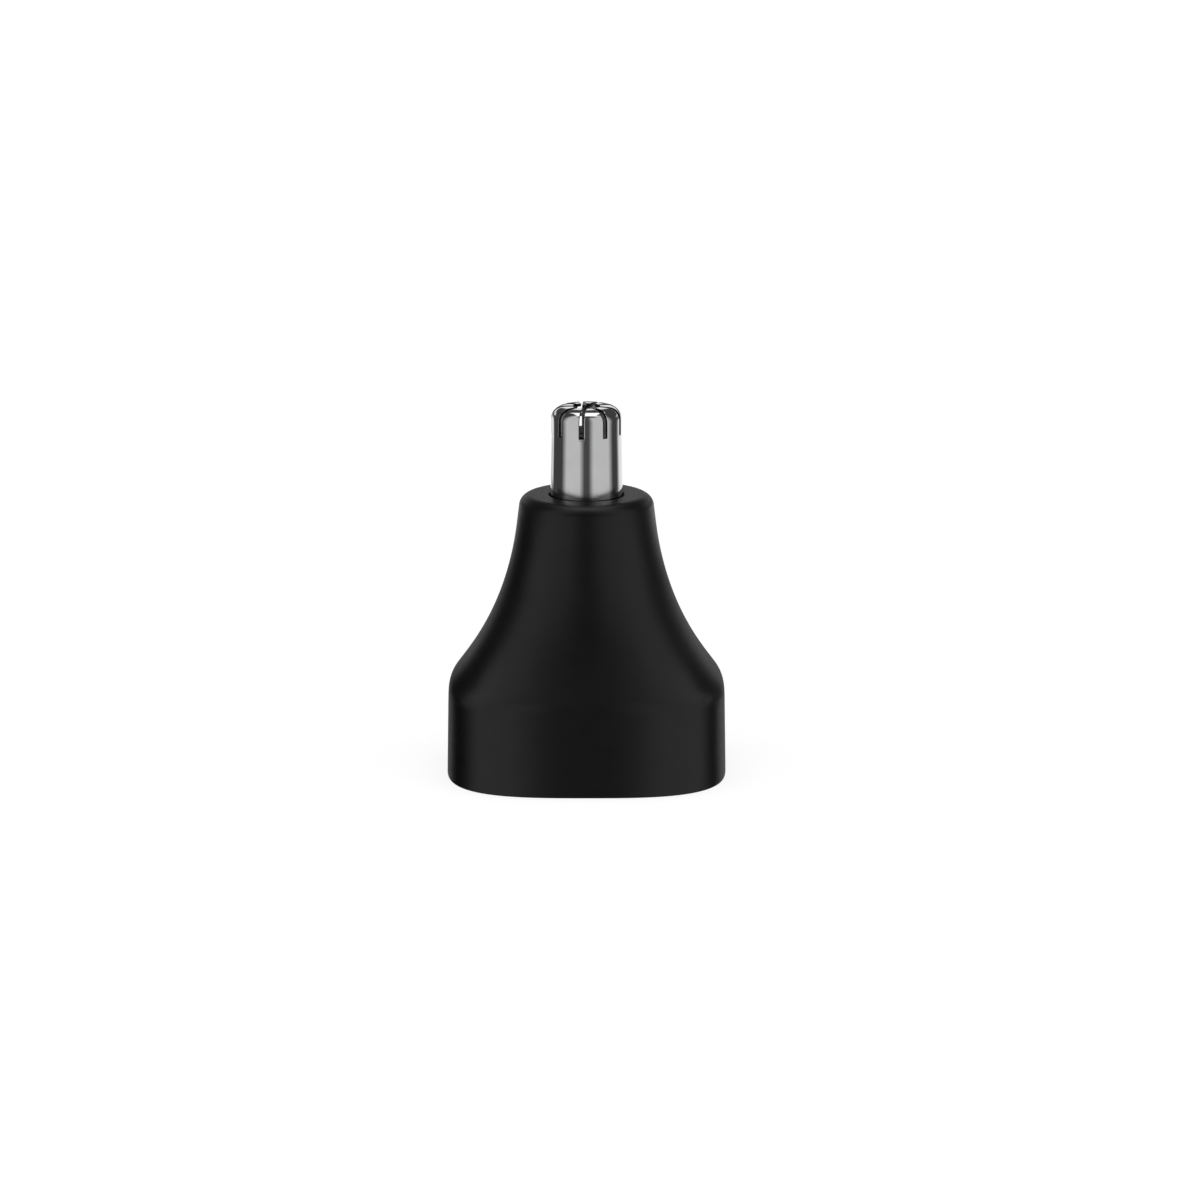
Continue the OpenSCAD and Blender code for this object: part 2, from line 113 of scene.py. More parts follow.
FLANGE_R = 5.3
LUG_DEPTH = 0.6
LUG_W = 1.6
SLOT_COUNT = 9
SLOT_W = 0.6
SLOT_TURN = -8.0
SPRING_R = 2.0
SPRING_TURNS = 3.5
SPRING_WIRE_R = 0.18
SPRING_END_GAP = 0.02

# Fine forms that only this script adds, in mm and degrees. The mouth's edge is (outward, height).
HOLE_EDGE_R = 0.12
MOUTH_EDGE = ((0, 0.15), (0.04, 0.04), (0.15, 0))
TIP_CROWN_R = 10.0
TIP_CROWN_LEAN = 5.0
CUT_EDGE_W = 0.02

# Camera, in metres and degrees, with its lens in mm. Its target lies right of the origin and up from it.
CAMERA_ELEVATION = 12.96
CAMERA_DISTANCE = 1.901
CAMERA_LENS = 495.0
CAMERA_SENSOR = 36.0
CAMERA_CLIP = (0.05, 20.0)
CAMERA_RIGHT = 0.001555
CAMERA_UP = 0.019257


# Meshes. Faces that meet at more than SHARP_ANGLE keep their edge, and FRONT is the camera's side.

SHARP_ANGLE = 40
FRONT = -90


def add_object(name, data):
    thing = bpy.data.objects.new(name, data)
    bpy.context.scene.collection.objects.link(thing)
    return thing


def mesh_object(name, verts, faces, smooth_below=SHARP_ANGLE):
    """Object from points in mm, smooth shaded where faces meet at less than that many degrees."""
    mesh = bpy.data.meshes.new(name)
    mesh.from_pydata([[c * MM for c in v] for v in verts], [], faces)
    edit = bmesh.new()
    edit.from_mesh(mesh)
    bmesh.ops.recalc_face_normals(edit, faces=edit.faces)
    edit.to_mesh(mesh)
    edit.free()
    mesh.shade_smooth()
    mesh.set_sharp_from_angle(angle=math.radians(smooth_below))
    return add_object(name, mesh)


def even(first, last, steps):
    """Evenly spaced values from first to last, with both."""
    return [first + (last - first) * i / steps for i in range(steps + 1)]


def polar(r, degrees, z):
    """Point at a radius, an angle about the axis and a height."""
    a = math.radians(degrees)
    return (r * math.cos(a), r * math.sin(a), z)


def add_rings(verts, faces, rings, closed):
    """Quads between rings of as many points. The last ring meets the first, or both get an end face."""
    sides = len(rings[0])
    start = len(verts)
    for ring in rings:
        verts.extend(ring)
    last = len(rings) if closed else len(rings) - 1
    for k in range(last):
        a, b = start + k * sides, start + (k + 1) % len(rings) * sides
        for i in range(sides):
            j = (i + 1) % sides
            faces.append((a + i, a + j, b + j, b + i))
    if not closed:
        for k in (0, last):
            faces.append(tuple(range(start + k * sides, start + (k + 1) * sides)))


# Shell: outline of the half width against height, swept through squarish rings

CIRCLE = 2
OUTLINE_STEP = 0.6
SHELL_SIDES = 240
CAVITY_STEPS = 24
BOSS_SIDES = 40
BOSS_SUNK = 0.3


def lean(degrees):
    """Upward direction that leans in by that angle."""
    a = math.radians(degrees)
    return Vector((-math.sin(a), math.cos(a)))


def cross2(a, b):
    return a.x * b.y - a.y * b.x


def meet(p, d, q, e):
    """Where the line through p along d meets the line through q along e."""
    return p + d * (cross2(q - p, e) / cross2(d, e))


def rounded(c, d, e, r, steps):
    """Arc that rounds corner c, arriving along d and leaving along e."""
    turn = math.acos(d.dot(e))
    side = math.copysign(1, cross2(d, e))
    start = c - d * r * math.tan(turn / 2)
    centre = start + side * r * Vector((-d.y, d.x))
    first = math.atan2(start.y - centre.y, start.x - centre.x)
    angles = even(first, first + side * turn, steps)
    return [centre + r * Vector((math.cos(a), math.sin(a))) for a in angles]


def filled(points, longest):
    """The same line with no step longer than that."""
    out = [points[0]]
    for p, q in zip(points, points[1:]):
        n = max(1, math.ceil((q - p).length / longest))
        out += [p.lerp(q, i / n) for i in range(1, n + 1)]
    return out


def outer_line():
    """Points (half width, height) from the base's edge to the platform's."""
    base = Vector((BASE_W / 2, 0))
    platform = Vector((PLATFORM_D / 2, PLATFORM_Z))
    outward = Vector((1, 0))
    wall, slope, neck = lean(WALL_DRAFT), lean(SLOPE_ANGLE), lean(NECK_ANGLE)
    shoulder = meet(base, wall, Vector((0, SHOULDER_Z)), outward)
    flare = meet(shoulder, slope, platform, neck)
    return (
        rounded(base, outward, wall, BASE_EDGE_R, steps=6)
        + rounded(shoulder, wall, slope, SHOULDER_R, steps=16)
        + rounded(flare, slope, neck, FLARE_R, steps=26)
        + rounded(platform, neck, -outward, PLATFORM_EDGE_R, steps=16)
    )


OUTLINE = outer_line()


def half_width(z):
    """Half width of the outside at a height."""
    for p, q in zip(OUTLINE, OUTLINE[1:]):
        if p.y <= z <= q.y:
            return p.x + (q.x - p.x) * (z - p.y) / max(q.y - p.y, 1e-9)
    return OUTLINE[-1].x


def cavity_half_width(z):
    """Half width of the hollow, under a wall of one thickness, measured square to the outline."""
    step = 0.2
    slope = (half_width(z + step) - half_width(z - step)) / (2 * step)
    return half_width(z) - SHELL_WALL * math.sqrt(1 + slope * slope)


def squareness(z):
    """Power of the ring at a height, from the base's down to a circle's."""
    share = min(1, max(0, (z - SQUARE_UNTIL_Z) / (ROUND_FROM_Z - SQUARE_UNTIL_Z)))
    return BASE_SQUARENESS + (CIRCLE - BASE_SQUARENESS) * share * share * (3 - 2 * share)


def squircle_r(half, power, degrees):
    """Radius at an angle of a ring with that half width."""
    a = math.radians(degrees)
    return half / (abs(math.cos(a)) ** power + abs(math.sin(a)) ** power) ** (1 / power)


def shell_rings():
    """Rings of points from the foot up the outside and down the inside."""
    line = filled(OUTLINE, OUTLINE_STEP)
    hole_r = TIP_ROOT_R + TIP_GAP
    under_z = PLATFORM_Z - PLATFORM_T
    flat = [(r, PLATFORM_Z) for r in even(line[-1].x, hole_r + HOLE_EDGE_R, 5)[1:-1]]
    lip = [(hole_r + HOLE_EDGE_R * (1 - math.sin(a)), PLATFORM_Z - HOLE_EDGE_R * (1 - math.cos(a)))
           for a in even(0, math.pi / 2, 6)]
    bore = [(hole_r, under_z), (NECK_BORE_R, under_z), (NECK_BORE_R, CAVITY_TOP_Z)]
    mouth = cavity_half_width(MOUTH_Z)
    rings = [(p.x, squareness(p.y), p.y) for p in line]
    rings += [(r, CIRCLE, z) for r, z in flat + lip + bore]
    rings += [(cavity_half_width(z), squareness(z), z)
              for z in even(CAVITY_TOP_Z, MOUTH_Z, CAVITY_STEPS)]
    rings += [(mouth + out, BASE_SQUARENESS, z) for out, z in MOUTH_EDGE]
    turns = even(0, 360, SHELL_SIDES)[:-1]
    return [[polar(squircle_r(half, power, a), a, z) for a in turns] for half, power, z in rings]


def ceiling_z(x, y):
    """Height at which the hollow closes over a point."""
    low, high = PLATE_TOP_Z, CAVITY_TOP_Z
    r, a = math.hypot(x, y), math.degrees(math.atan2(y, x))
    for _ in range(40):
        z = (low + high) / 2
        if squircle_r(cavity_half_width(z), squareness(z), a) > r:
            low = z
        else:
            high = z
    return low


def add_boss(verts, faces, turn):
    """Post from the hollow's ceiling down to the plate, with a blind pilot hole."""
    centre_x, centre_y, _ = polar(BOSS_CIRCLE_R, turn, 0)

    def ring(r, z=None):
        """Circle at a height, or sunk into the ceiling."""
        points = []
        for a in even(0, 360, BOSS_SIDES)[:-1]:
            dx, dy, _ = polar(r, a, 0)
            x, y = centre_x + dx, centre_y + dy
            points.append((x, y, ceiling_z(x, y) + BOSS_SUNK if z is None else z))
        return points

    rings = [ring(BOSS_R), ring(BOSS_R, PLATE_TOP_Z), ring(PILOT_R, PLATE_TOP_Z), ring(PILOT_R, PILOT_TOP_Z)]
    add_rings(verts, faces, rings, closed=False)


def shell_body():
    verts, faces = [], []
    add_rings(verts, faces, shell_rings(), closed=True)
    for turn in BOSS_TURNS:
        add_boss(verts, faces, turn)
    return mesh_object("shell_body", verts, faces)


# Tip: a cup of revolution with open slots, so its fingers are patches of their own

FINGER_CELLS = 20
SLOT_CELLS = 4
PERIOD_CELLS = FINGER_CELLS + SLOT_CELLS
PERIOD = 360 / SLOT_COUNT
TAPER_ROWS = 14
OUTSIDE, INSIDE, CUT = 0, 1, 2


def arc_rows(r, z, radius, angles):
    """Rows along an arc about (r, z), at angles from the tip's axis."""
    inner = radius - TIP_WALL
    return [(r + radius * math.sin(a), z + radius * math.cos(a),
             r + inner * math.sin(a), z + inner * math.cos(a)) for a in angles]


def tip_rows():
    """Outer and inner (radius, height) up the tip, and the row where the slots begin."""
    crown_lean = math.radians(TIP_CROWN_LEAN)
    crown_z = TIP_TOP_Z - TIP_CROWN_R
    edge_r = TIP_R - TIP_EDGE_R
    edge_z = crown_z + (TIP_CROWN_R - TIP_EDGE_R) * math.cos(crown_lean)
    crown_r = edge_r - (TIP_CROWN_R - TIP_EDGE_R) * math.sin(crown_lean)
    taper = zip(even(TIP_ROOT_R, TIP_R, TAPER_ROWS), even(FLANGE_Z, TAPER_TOP_Z, TAPER_ROWS))
    rows = [(r, z, r - TIP_WALL, z) for r, z in taper]
    slot_row = len(rows)
    rows += [(TIP_R, z, TIP_R - TIP_WALL, z) for z in even(SLOT_Z, edge_z, 6)[:-1]]
    rows += arc_rows(edge_r, edge_z, TIP_EDGE_R, even(math.pi / 2, crown_lean, 16)[:-1])
    rows += arc_rows(crown_r, crown_z, TIP_CROWN_R, even(crown_lean, 0, 5))
    rows += [(r, TIP_TOP_Z, r, TIP_TOP_Z - TIP_WALL) for r in even(crown_r, TOP_HOLE_R, 3)[1:]]
    return rows, slot_row


def tip_angles(r):
    """Polar angles of one ring's points, finger by finger, with those in the slots between."""
    half = math.degrees(math.asin(SLOT_W / 2 / r))
    angles = []
    for i in range(SLOT_COUNT):
        slot = FRONT + SLOT_TURN + PERIOD * i
        next_slot = slot + PERIOD
        angles += even(slot + half, next_slot - half, FINGER_CELLS)
        angles += even(next_slot - half, next_slot + half, SLOT_CELLS)[1:-1]
    return angles


def slotted_tip():
    rows, slot_row = tip_rows()
    ring_len = SLOT_COUNT * PERIOD_CELLS
    verts, faces, index = [], [], {}
    for k, (r, z, r_in, z_in) in enumerate(rows):
        outer = tip_angles(TIP_R if k < slot_row else r)
        inner = tip_angles(TIP_R - TIP_WALL if k < slot_row else r_in)
        for i in range(ring_len):
            if k > slot_row and i % PERIOD_CELLS > FINGER_CELLS:
                continue
            index[k, i, OUTSIDE] = len(verts)
            verts.append(polar(r, outer[i], z))
            index[k, i, INSIDE] = len(verts)
            verts.append(polar(r_in, inner[i], z_in))

    finishes = {}

    def quad(*corners):
        """Face on one side of the wall, or a cut face from one side to the other."""
        sides = {side for _, _, side in corners}
        finishes[len(faces)] = CUT if len(sides) == 2 else sides.pop()
        faces.append(tuple(index[corner] for corner in corners))

    top = len(rows) - 1
    for i in range(ring_len):
        j = (i + 1) % ring_len
        in_finger = i % PERIOD_CELLS < FINGER_CELLS
        high = top if in_finger else slot_row
        for k in range(high):
            quad((k, i, OUTSIDE), (k, j, OUTSIDE), (k + 1, j, OUTSIDE), (k + 1, i, OUTSIDE))
            quad((k, i, INSIDE), (k + 1, i, INSIDE), (k + 1, j, INSIDE), (k, j, INSIDE))
        quad((high, i, OUTSIDE), (high, j, OUTSIDE), (high, j, INSIDE), (high, i, INSIDE))
        quad((0, i, OUTSIDE), (0, i, INSIDE), (0, j, INSIDE), (0, j, OUTSIDE))
        if i % PERIOD_CELLS in (0, FINGER_CELLS):
            for k in range(slot_row, top):
                quad((k, i, OUTSIDE), (k + 1, i, OUTSIDE), (k + 1, i, INSIDE), (k, i, INSIDE))
    add_flange(verts, faces)
    tip = mesh_object("slotted_tip", verts, faces, smooth_below=180)
    # Faces take material 0 outside, 1 inside and 2 on the cut faces; the last is near-black, painted shade
    # in the slots
    for face, finish in finishes.items():
        tip.data.polygons[face].material_index = finish
    edges = tip.modifiers.new("fine edges", "BEVEL")
    edges.width = CUT_EDGE_W * MM
    edges.segments = 2
    edges.limit_method = "ANGLE"
    edges.angle_limit = math.radians(SHARP_ANGLE)
    tip.modifiers.new("flat faces", "WEIGHTED_NORMAL")
    return tip


def add_flange(verts, faces):
    """Rim at the tip's root, with two notches that keep it from turning."""
    notch = math.degrees(math.asin(LUG_W / 2 / FLANGE_R))
    floor_r = math.hypot(FLANGE_R - LUG_DEPTH, LUG_W / 2)
    floor = math.degrees(math.asin(LUG_W / 2 / floor_r))
    half = [(a, FLANGE_R) for a in even(notch, 180 - notch, 60)]
    half += [(a, floor_r) for a in even(180 - floor, 180 + floor, 4)]
    line = half + [(a + 180, r) for a, r in half]
    foot, top = FLANGE_Z, FLANGE_Z + TIP_WALL
    inside = TIP_ROOT_R - TIP_WALL / 2
    rings = [[polar(r, a, z) for a, r in line] for z in (foot, top)]
    rings += [[polar(inside, a, z) for a, _ in line] for z in (top, foot)]
    add_rings(verts, faces, rings, closed=True)


# Spring, with its wire's ends closed

RINGS_PER_TURN = 48
WIRE_SIDES = 12


def coil_spring():
    rise = SPRING_LEN - 2 * (SPRING_WIRE_R + SPRING_END_GAP)
    wire_turns = even(0, 2 * math.pi, WIRE_SIDES)[:-1]
    rings = []
    for k in range(round(SPRING_TURNS * RINGS_PER_TURN) + 1):
        turn = k / RINGS_PER_TURN
        a = 2 * math.pi * turn
        outward = Vector((math.cos(a), math.sin(a), 0))
        along = Vector((-math.sin(a), math.cos(a), 0)) * 2 * math.pi * SPRING_R
        along += Vector((0, 0, rise / SPRING_TURNS))
        across = outward.cross(along).normalized()
        z = SPRING_Z + SPRING_END_GAP + SPRING_WIRE_R + rise * turn / SPRING_TURNS
        centre = outward * SPRING_R + Vector((0, 0, z))
        rings.append([tuple(centre + SPRING_WIRE_R * (math.cos(b) * outward - math.sin(b) * across))
                      for b in wire_turns])
    verts, faces = [], []
    add_rings(verts, faces, rings, closed=False)
    return mesh_object("coil_spring", verts, faces)


# Materials

NOISE_LOW, NOISE_HIGH = 0.3, 0.7
CLOUD_SIZE = 2.5
STREAK_GRAINS = 4


def new_node(tree, kind, **inputs):
    node = tree.nodes.new(kind)
    for key, value in inputs.items():
        node.inputs[key.replace("_", " ")].default_value = value
    return node


def noise(tree, size_mm, stretch=(1, 1, 1)):
    """Noise with features of about that size, in the piece's own space."""
    place = tree.nodes.new("ShaderNodeTexCoord")
    scale = tree.nodes.new("ShaderNodeMapping")
    scale.inputs["Scale"].default_value = [s / (size_mm * MM) for s in stretch]
    tree.links.new(place.outputs["Object"], scale.inputs["Vector"])
    field = new_node(tree, "ShaderNodeTexNoise", Scale=1.0, Detail=3.0)
    tree.links.new(scale.outputs["Vector"], field.inputs["Vector"])
    return field.outputs["Fac"]


def grey(level):
    return (level, level, level, 1)


def ramp(tree, value, stops):
    """Colour ramp of greys or colours at places from 0 to 1."""
    node = tree.nodes.new("ShaderNodeValToRGB")
    tree.links.new(value, node.inputs["Fac"])
    colours = node.color_ramp.elements
    while len(colours) < len(stops):
        colours.new(1.0)
    for element, (place, colour) in zip(colours, stops):
        element.position = place
        element.color = (*colour, 1) if isinstance(colour, tuple) else grey(colour)
    return node.outputs["Color"]


def mapped(tree, value, low, high):
    """Noise spread over the range from low to high."""
    node = new_node(tree, "ShaderNodeMapRange",
                    From_Min=NOISE_LOW, From_Max=NOISE_HIGH, To_Min=low, To_Max=high)
    tree.links.new(value, node.inputs["Value"])
    return node.outputs["Result"]


def finish_material(name, dark, light, rough, grain, metallic=0.0, ior=1.5, lines=(1, 1, 1)):
    """Base colour and roughness that vary a little, over a fine bump.

    grain is (size in mm, bump depth in mm); lines stretches the bump and the roughness along an axis."""
    material = bpy.data.materials.new(name)
    material.use_nodes = True
    tree = material.node_tree
    shader = tree.nodes["Principled BSDF"]
    shader.inputs["Metallic"].default_value = metallic
    shader.inputs["IOR"].default_value = ior
    cloud = ramp(tree, noise(tree, CLOUD_SIZE), [(NOISE_LOW, dark), (NOISE_HIGH, light)])
    tree.links.new(cloud, shader.inputs["Base Color"])
    size, depth = grain
    streaks = noise(tree, size * STREAK_GRAINS, lines)
    tree.links.new(mapped(tree, streaks, *rough), shader.inputs["Roughness"])
    bump = new_node(tree, "ShaderNodeBump", Strength=1.0, Distance=depth * MM)
    tree.links.new(noise(tree, size, lines), bump.inputs["Height"])
    tree.links.new(bump.outputs["Normal"], shader.inputs["Normal"])
    return material


FINISHES = {
    "shell_plastic": finish_material(
        "moulded_black", (0.0026, 0.0026, 0.0028), (0.0037, 0.0037, 0.0039),
        (0.35, 0.41), (0.12, 0.0008), ior=1.385),
    "tip_steel": finish_material(
        "drawn_steel", (0.60, 0.60, 0.605), (0.64, 0.64, 0.645),
        (0.06, 0.10), (0.3, 0.0003), metallic=1.0, lines=(1, 1, 0.04)),
    "inner_plastic": finish_material(
        "moulded_grey", (0.017, 0.017, 0.018), (0.024, 0.024, 0.026),
        (0.40, 0.52), (0.10, 0.002)),
    "bush_bronze": finish_material(
        "sintered_bronze", (0.38, 0.21, 0.085), (0.52, 0.30, 0.13),
        (0.38, 0.55), (0.08, 0.004), metallic=1.0),
    "screw_steel": finish_material(
        "zinc_plate", (0.50, 0.51, 0.54), (0.60, 0.61, 0.62),
        (0.22, 0.36), (0.10, 0.001), metallic=1.0),
    "spring_steel": finish_material(
        "spring_steel", (0.30, 0.31, 0.33), (0.40, 0.41, 0.42),
        (0.25, 0.38), (0.06, 0.001), metallic=1.0),
    "blade_steel": finish_material(
        "ground_steel", (0.68, 0.68, 0.69), (0.78, 0.78, 0.79),
        (0.68, 0.80), (0.06, 0.0008), metallic=1.0, lines=(1, 1, 0.08)),
    "drive_plastic": finish_material(
        "natural_acetal", (0.70, 0.69, 0.64), (0.78, 0.77, 0.73),
        (0.34, 0.44), (0.10, 0.001)),
}
TIP_INSIDE = finish_material(
    "unpolished_steel", (0.56, 0.56, 0.565), (0.64, 0.64, 0.645),
    (0.50, 0.62), (0.2, 0.0008), metallic=1.0)
# The slots' cut faces get a near-black steel: painted shade inside the slots, not the colour of cut steel
CUT_FACES_PAINTED_SHADE = finish_material(
    "cut_faces_painted_shade", (0.035, 0.035, 0.036), (0.055, 0.055, 0.056),
    (0.36, 0.48), (0.08, 0.001), metallic=1.0)


# Every CAD node gets its finish, and three get a smoother piece in their place

def dress(piece, slot_name):
    """Gives a piece or a CAD node the finish of a material slot."""
    if piece.material_slots:
        for place in piece.material_slots:
            place.material = FINISHES[slot_name]
    else:
        piece.data.materials.append(FINISHES[slot_name])


def stand_in(piece, node, slot_name):
    """Puts a piece in the place of a CAD node of the housing."""
    dress(piece, slot_name)
    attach(piece, "housing")
    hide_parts(node)
    return piece


for part in frame["record"]["subparts"]:
    dress(frame["nodes"][part["node"]], part["material_slot"])

stand_in(shell_body(), "housing_shell", "shell_plastic")

tip = stand_in(slotted_tip(), "outer_cutter", "tip_steel")
tip.data.materials.append(TIP_INSIDE)
# The third material is near-black, painted shade on the slots' cut faces
tip.data.materials.append(CUT_FACES_PAINTED_SHADE)

spring = stand_in(coil_spring(), "thrust_spring", "spring_steel")
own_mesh(spring)


# Shaders of the floor, the cards and the studio

def bare_material(name):
    material = bpy.data.materials.new(name)
    material.use_nodes = True
    material.node_tree.nodes.clear()
    return material


def mixed(tree, share, first, second):
    """Shader that goes from the first to the second as the share goes from 0 to 1."""
    node = tree.nodes.new("ShaderNodeMixShader")
    for i, value in enumerate((share, first, second)):
        tree.links.new(value, node.inputs[i])
    return node.outputs[0]


def glow(tree, level):
    return new_node(tree, "ShaderNodeEmission", Color=grey(level), Strength=1.0).outputs[0]


def clear(tree):
    return tree.nodes.new("ShaderNodeBsdfTransparent").outputs[0]


def set_output(tree, kind, surface):
    out = tree.nodes.new(kind)
    tree.links.new(surface, out.inputs["Surface"])


# Floor: white, with the faint shadow of what stands on it, and open from below

FLOOR_REACH = 3000.0
FLOOR_DROP = 0.03
FLOOR_MATTE = 0.3
FLOOR_GLOW = 0.82


def floor_plane():
    mesh = bpy.data.meshes.new("floor")
    corners = ((-1, -1), (1, -1), (1, 1), (-1, 1))
    mesh.from_pydata([(x * FLOOR_REACH * MM, y * FLOOR_REACH * MM, -FLOOR_DROP * MM) for x, y in corners],
                     [], [(0, 1, 2, 3)])
    floor = add_object("floor", mesh)
    floor.visible_glossy = False
    material = bare_material("floor_white")
    tree = material.node_tree
    matte = new_node(tree, "ShaderNodeBsdfDiffuse", Color=grey(FLOOR_MATTE))
    both = tree.nodes.new("ShaderNodeAddShader")
    tree.links.new(matte.outputs[0], both.inputs[0])
    tree.links.new(glow(tree, FLOOR_GLOW), both.inputs[1])
    side = tree.nodes.new("ShaderNodeNewGeometry")
    surface = mixed(tree, side.outputs["Backfacing"], both.outputs[0], clear(tree))
    set_output(tree, "ShaderNodeOutputMaterial", surface)
    mesh.materials.append(material)


# Studio: pale panels in front, white behind, a soft box overhead. The camera sees plain white.

PANEL = 0.75
WHITE = 1.0
DIM = 0.1
DARK = 0.07
BLACK = 0.0
SOFT_BOX = 1.7


def maths(tree, operation, *values):
    node = tree.nodes.new("ShaderNodeMath")
    node.operation = operation
    for i, value in enumerate(values):
        if isinstance(value, (int, float)):
            node.inputs[i].default_value = value
        else:
            tree.links.new(value, node.inputs[i])
    return node.outputs[0]


def turn_share(tree, y, x):
    """Angle of (x, y) as a share of a full turn, 0.5 along x."""
    angle = maths(tree, "ARCTAN2", y, x)
    return maths(tree, "ADD", maths(tree, "DIVIDE", angle, 2 * math.pi), 0.5)


def at(degrees):
    """Place on a ramp over turn_share."""
    return degrees / 360 + 0.5


def up(sine):
    """Place on a ramp over half a unit more than the sine of the elevation."""
    return sine + 0.5


def studio():
    world = bpy.data.worlds.new("studio")
    world.use_nodes = True
    # Reflections find the world by their own rays alone, so a card hides the world behind it
    world.cycles.sampling_method = "NONE"
    tree = world.node_tree
    tree.nodes.clear()
    place = tree.nodes.new("ShaderNodeTexCoord")
    split = tree.nodes.new("ShaderNodeSeparateXYZ")
    tree.links.new(place.outputs["Generated"], split.inputs[0])
    x, y, z = split.outputs
    front = maths(tree, "MULTIPLY", y, -1.0)

    around = turn_share(tree, x, front)
    panels = ramp(tree, around, [(at(-115), DARK), (at(-100), PANEL), (at(100), PANEL), (at(115), DARK)])
    behind = ramp(tree, around, [(at(-125), 1.0), (at(-105), 0.0), (at(105), 0.0), (at(125), 1.0)])
    backdrop = ramp(tree, maths(tree, "ADD", z, up(0)), [
        (up(-0.07), WHITE), (up(-0.02), DIM), (up(0.155), DIM),
        (up(0.175), WHITE), (up(0.27), WHITE), (up(0.31), BLACK),
    ])
    walls = maths(tree, "ADD", panels, maths(tree, "MULTIPLY", behind, backdrop))

    over = turn_share(tree, z, front)
    top = ramp(tree, over, [
        (at(66), DARK), (at(75), DARK), (at(79), SOFT_BOX), (at(117), SOFT_BOX), (at(121), DARK),
    ])
    top_place = ramp(tree, over, [(at(62), 0.0), (at(66), 1.0), (at(135), 1.0), (at(140), 0.0)])
    top_width = ramp(tree, maths(tree, "ABSOLUTE", x), [(0.3, 1.0), (0.4, 0.0)])
    share = maths(tree, "MULTIPLY", top_place, top_width)
    rest = maths(tree, "SUBTRACT", 1.0, share)
    light = maths(tree, "ADD", maths(tree, "MULTIPLY", walls, rest), maths(tree, "MULTIPLY", top, share))

    studio_light = tree.nodes.new("ShaderNodeBackground")
    tree.links.new(light, studio_light.inputs["Color"])
    white = new_node(tree, "ShaderNodeBackground", Color=grey(WHITE))
    path = tree.nodes.new("ShaderNodeLightPath")
    surface = mixed(tree, path.outputs["Is Camera Ray"], studio_light.outputs[0], white.outputs[0])
    set_output(tree, "ShaderNodeOutputWorld", surface)
    bpy.context.scene.world = world


# Cards round the object, dark and pale, with soft ends, that only reflections see. Lengths in mm.

CARD_LOW = -60.0
CARD_HIGH = 120.0
WALL_CARD_TOP = 12.0
NECK_CARD_TOP = 26.0
SLOPE_CARD_LOW = 9.0
SLOPE_CARD_TOP = 28.6
FRONT_CARD_LOW = 18.0
FRONT_CARD_TOP = 37.5
SIDE_X = 30.0
SLOPE_X = 18.0
PALE_SLOPE_X = 18.2
FOOT_CARD_R = 29.5


def card(name, line, heights, axis, cover, level, ground=None):
    """Upright card along a line, between two heights. cover lists (mm along the axis, cover).

    Where it isn't covered, the card glows at the ground level, or is clear if that is None."""
    mesh = bpy.data.meshes.new(name)
    verts = [(x * MM, y * MM, z * MM) for z in heights for x, y in line]
    count = len(line)
    mesh.from_pydata(verts, [], [(i, i + 1, count + i + 1, count + i) for i in range(count - 1)])
    board = add_object(name, mesh)
    board.visible_camera = board.visible_diffuse = board.visible_shadow = False
    board.visible_transmission = board.visible_volume_scatter = False
    material = bare_material(name)
    tree = material.node_tree
    place = tree.nodes.new("ShaderNodeTexCoord")
    split = tree.nodes.new("ShaderNodeSeparateXYZ")
    tree.links.new(place.outputs["Object"], split.inputs[0])
    low, high = cover[0][0], cover[-1][0]
    spot = new_node(tree, "ShaderNodeMapRange", From_Min=low * MM, From_Max=high * MM)
    tree.links.new(split.outputs[axis], spot.inputs["Value"])
    share = ramp(tree, spot.outputs["Result"], [((mm - low) / (high - low), v) for mm, v in cover])
    between = clear(tree) if ground is None else glow(tree, ground)
    surface = mixed(tree, share, between, glow(tree, level))
    set_output(tree, "ShaderNodeOutputMaterial", surface)
    mesh.materials.append(material)


def soft_ends(start, full_from, full_to, end):
    """Cover that fades in and out again."""
    return [(start, 0.0), (full_from, 1.0), (full_to, 1.0), (end, 0.0)]


def soft_end(start, full_to, end):
    """Cover that is full from the start and fades out."""
    return [(start, 1.0), (full_to, 1.0), (end, 0.0)]


def side_cards():
    """Dark cards at both sides, for the stripes near the edges of the tip, the neck and the base."""
    for side, x, high, middle, low in (
        ("left", -SIDE_X, soft_ends(-15, -5, 21, 28.5),
         soft_ends(-1, 3, 30, 35), soft_ends(-15, -5, 21, 28.5)),
        ("right", SIDE_X, soft_ends(-10.5, -1, 10.3, 22.5),
         soft_ends(1, 7, 15, 25), soft_ends(-12, -2, 10.3, 22.5)),
    ):
        beside = ((x, -25), (x, 35))
        card("flag_%s_high" % side, beside, (NECK_CARD_TOP, CARD_HIGH), "Y", high, DARK)
        card("flag_%s_middle" % side, beside, (WALL_CARD_TOP, NECK_CARD_TOP), "Y", middle, BLACK)
        card("flag_%s_low" % side, beside, (CARD_LOW, WALL_CARD_TOP), "Y", low, BLACK)


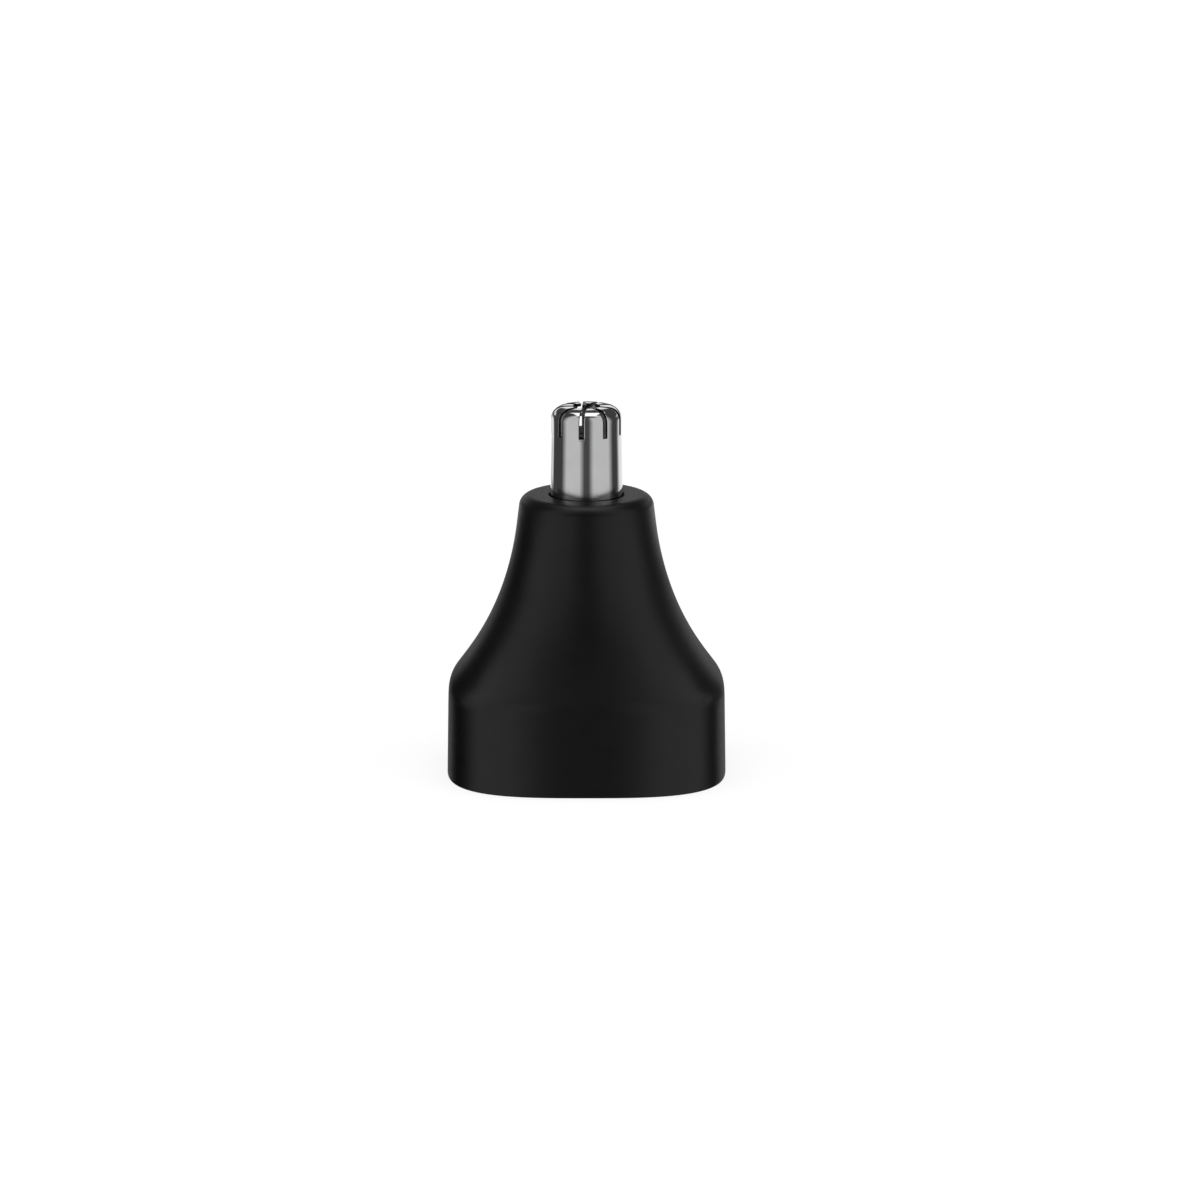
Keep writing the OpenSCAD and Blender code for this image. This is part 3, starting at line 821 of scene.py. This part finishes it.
def slope_cards():
    """Cards close to the slope, below what the tip reflects: dark beside it, pale in front of that."""
    for side, x, cover, level in (
        ("left", -SLOPE_X, soft_ends(-5.5, -2, 4.5, 12.5), 0.02),
        ("right", SLOPE_X, soft_ends(-4.5, -1.8, 0.5, 7), 0.08),
    ):
        beside = ((x, -9), (x, 14))
        card("flag_%s_slope" % side, beside, (SLOPE_CARD_LOW, SLOPE_CARD_TOP), "Y", cover, level)
    for side, x in (("left", -PALE_SLOPE_X), ("right", PALE_SLOPE_X)):
        beside = ((x, -16), (x, -3))
        card("card_%s_slope_low" % side, beside, (13, 17), "Y", soft_end(-16, -8.5, -6), PANEL)
        card("card_%s_slope" % side, beside, (17, SLOPE_CARD_TOP), "Y", soft_end(-16, -7, -4), PANEL)


def front_cards():
    """Dark cards in front, for the stripe down the middle, and one before the tip's rounded top."""
    front = ((-41, -32), (41, -32))
    card("flag_front_low", front, (CARD_LOW, FRONT_CARD_LOW), "X", soft_ends(-18, -5, 5, 18), 0.13)
    card("flag_front", front, (FRONT_CARD_LOW, FRONT_CARD_TOP), "X", soft_ends(-12.5, -3.9, 3.9, 12.5), 0.09)
    card("flag_front_high", front, (FRONT_CARD_TOP, CARD_HIGH), "X", soft_ends(-40, -8, 8, 40), 0.05)
    before_dome = ((-20, -14), (20, -14))
    card("card_before_dome", before_dome, (39.3, 60), "X", soft_ends(-5, -1.6, 1.6, 5), 0.09, PANEL)


def rear_cards():
    """Cards for the tip's left rim, its foot, and the edges of the shell."""
    beside = ((-SIDE_X, 35), (-SIDE_X, 54))
    card("flag_left_rim", beside, (18, 28.5), "Y", soft_ends(36, 40, 47, 52), 0.15)
    around = [polar(FOOT_CARD_R, a, 0)[:2] for a in even(FRONT - 100, FRONT + 100, 40)]
    card("flag_round_foot", around, (27.0, 28.4), "Z", soft_end(27.0, 28.1, 28.4), 0.02)
    behind = ((-29.9, 20), (29.9, 20))
    card("card_behind", behind, (CARD_LOW, 28), "Z", soft_end(CARD_LOW, 21, 28), 0.33)


def photo_camera():
    e = math.radians(CAMERA_ELEVATION)
    data = bpy.data.cameras.new("camera")
    data.lens = CAMERA_LENS
    data.sensor_width = CAMERA_SENSOR
    data.clip_start, data.clip_end = CAMERA_CLIP
    camera = add_object("camera", data)
    camera.location = CAMERA_DISTANCE * Vector((0, -math.cos(e), math.sin(e)))
    target = Vector((CAMERA_RIGHT, CAMERA_UP * math.sin(e), CAMERA_UP * math.cos(e)))
    camera.rotation_euler = (target - camera.location).to_track_quat("-Z", "Y").to_euler()
    bpy.context.scene.camera = camera


floor_plane()
studio()
side_cards()
slope_cards()
front_cards()
rear_cards()
photo_camera()
bpy.context.scene.view_settings.view_transform = "Standard"
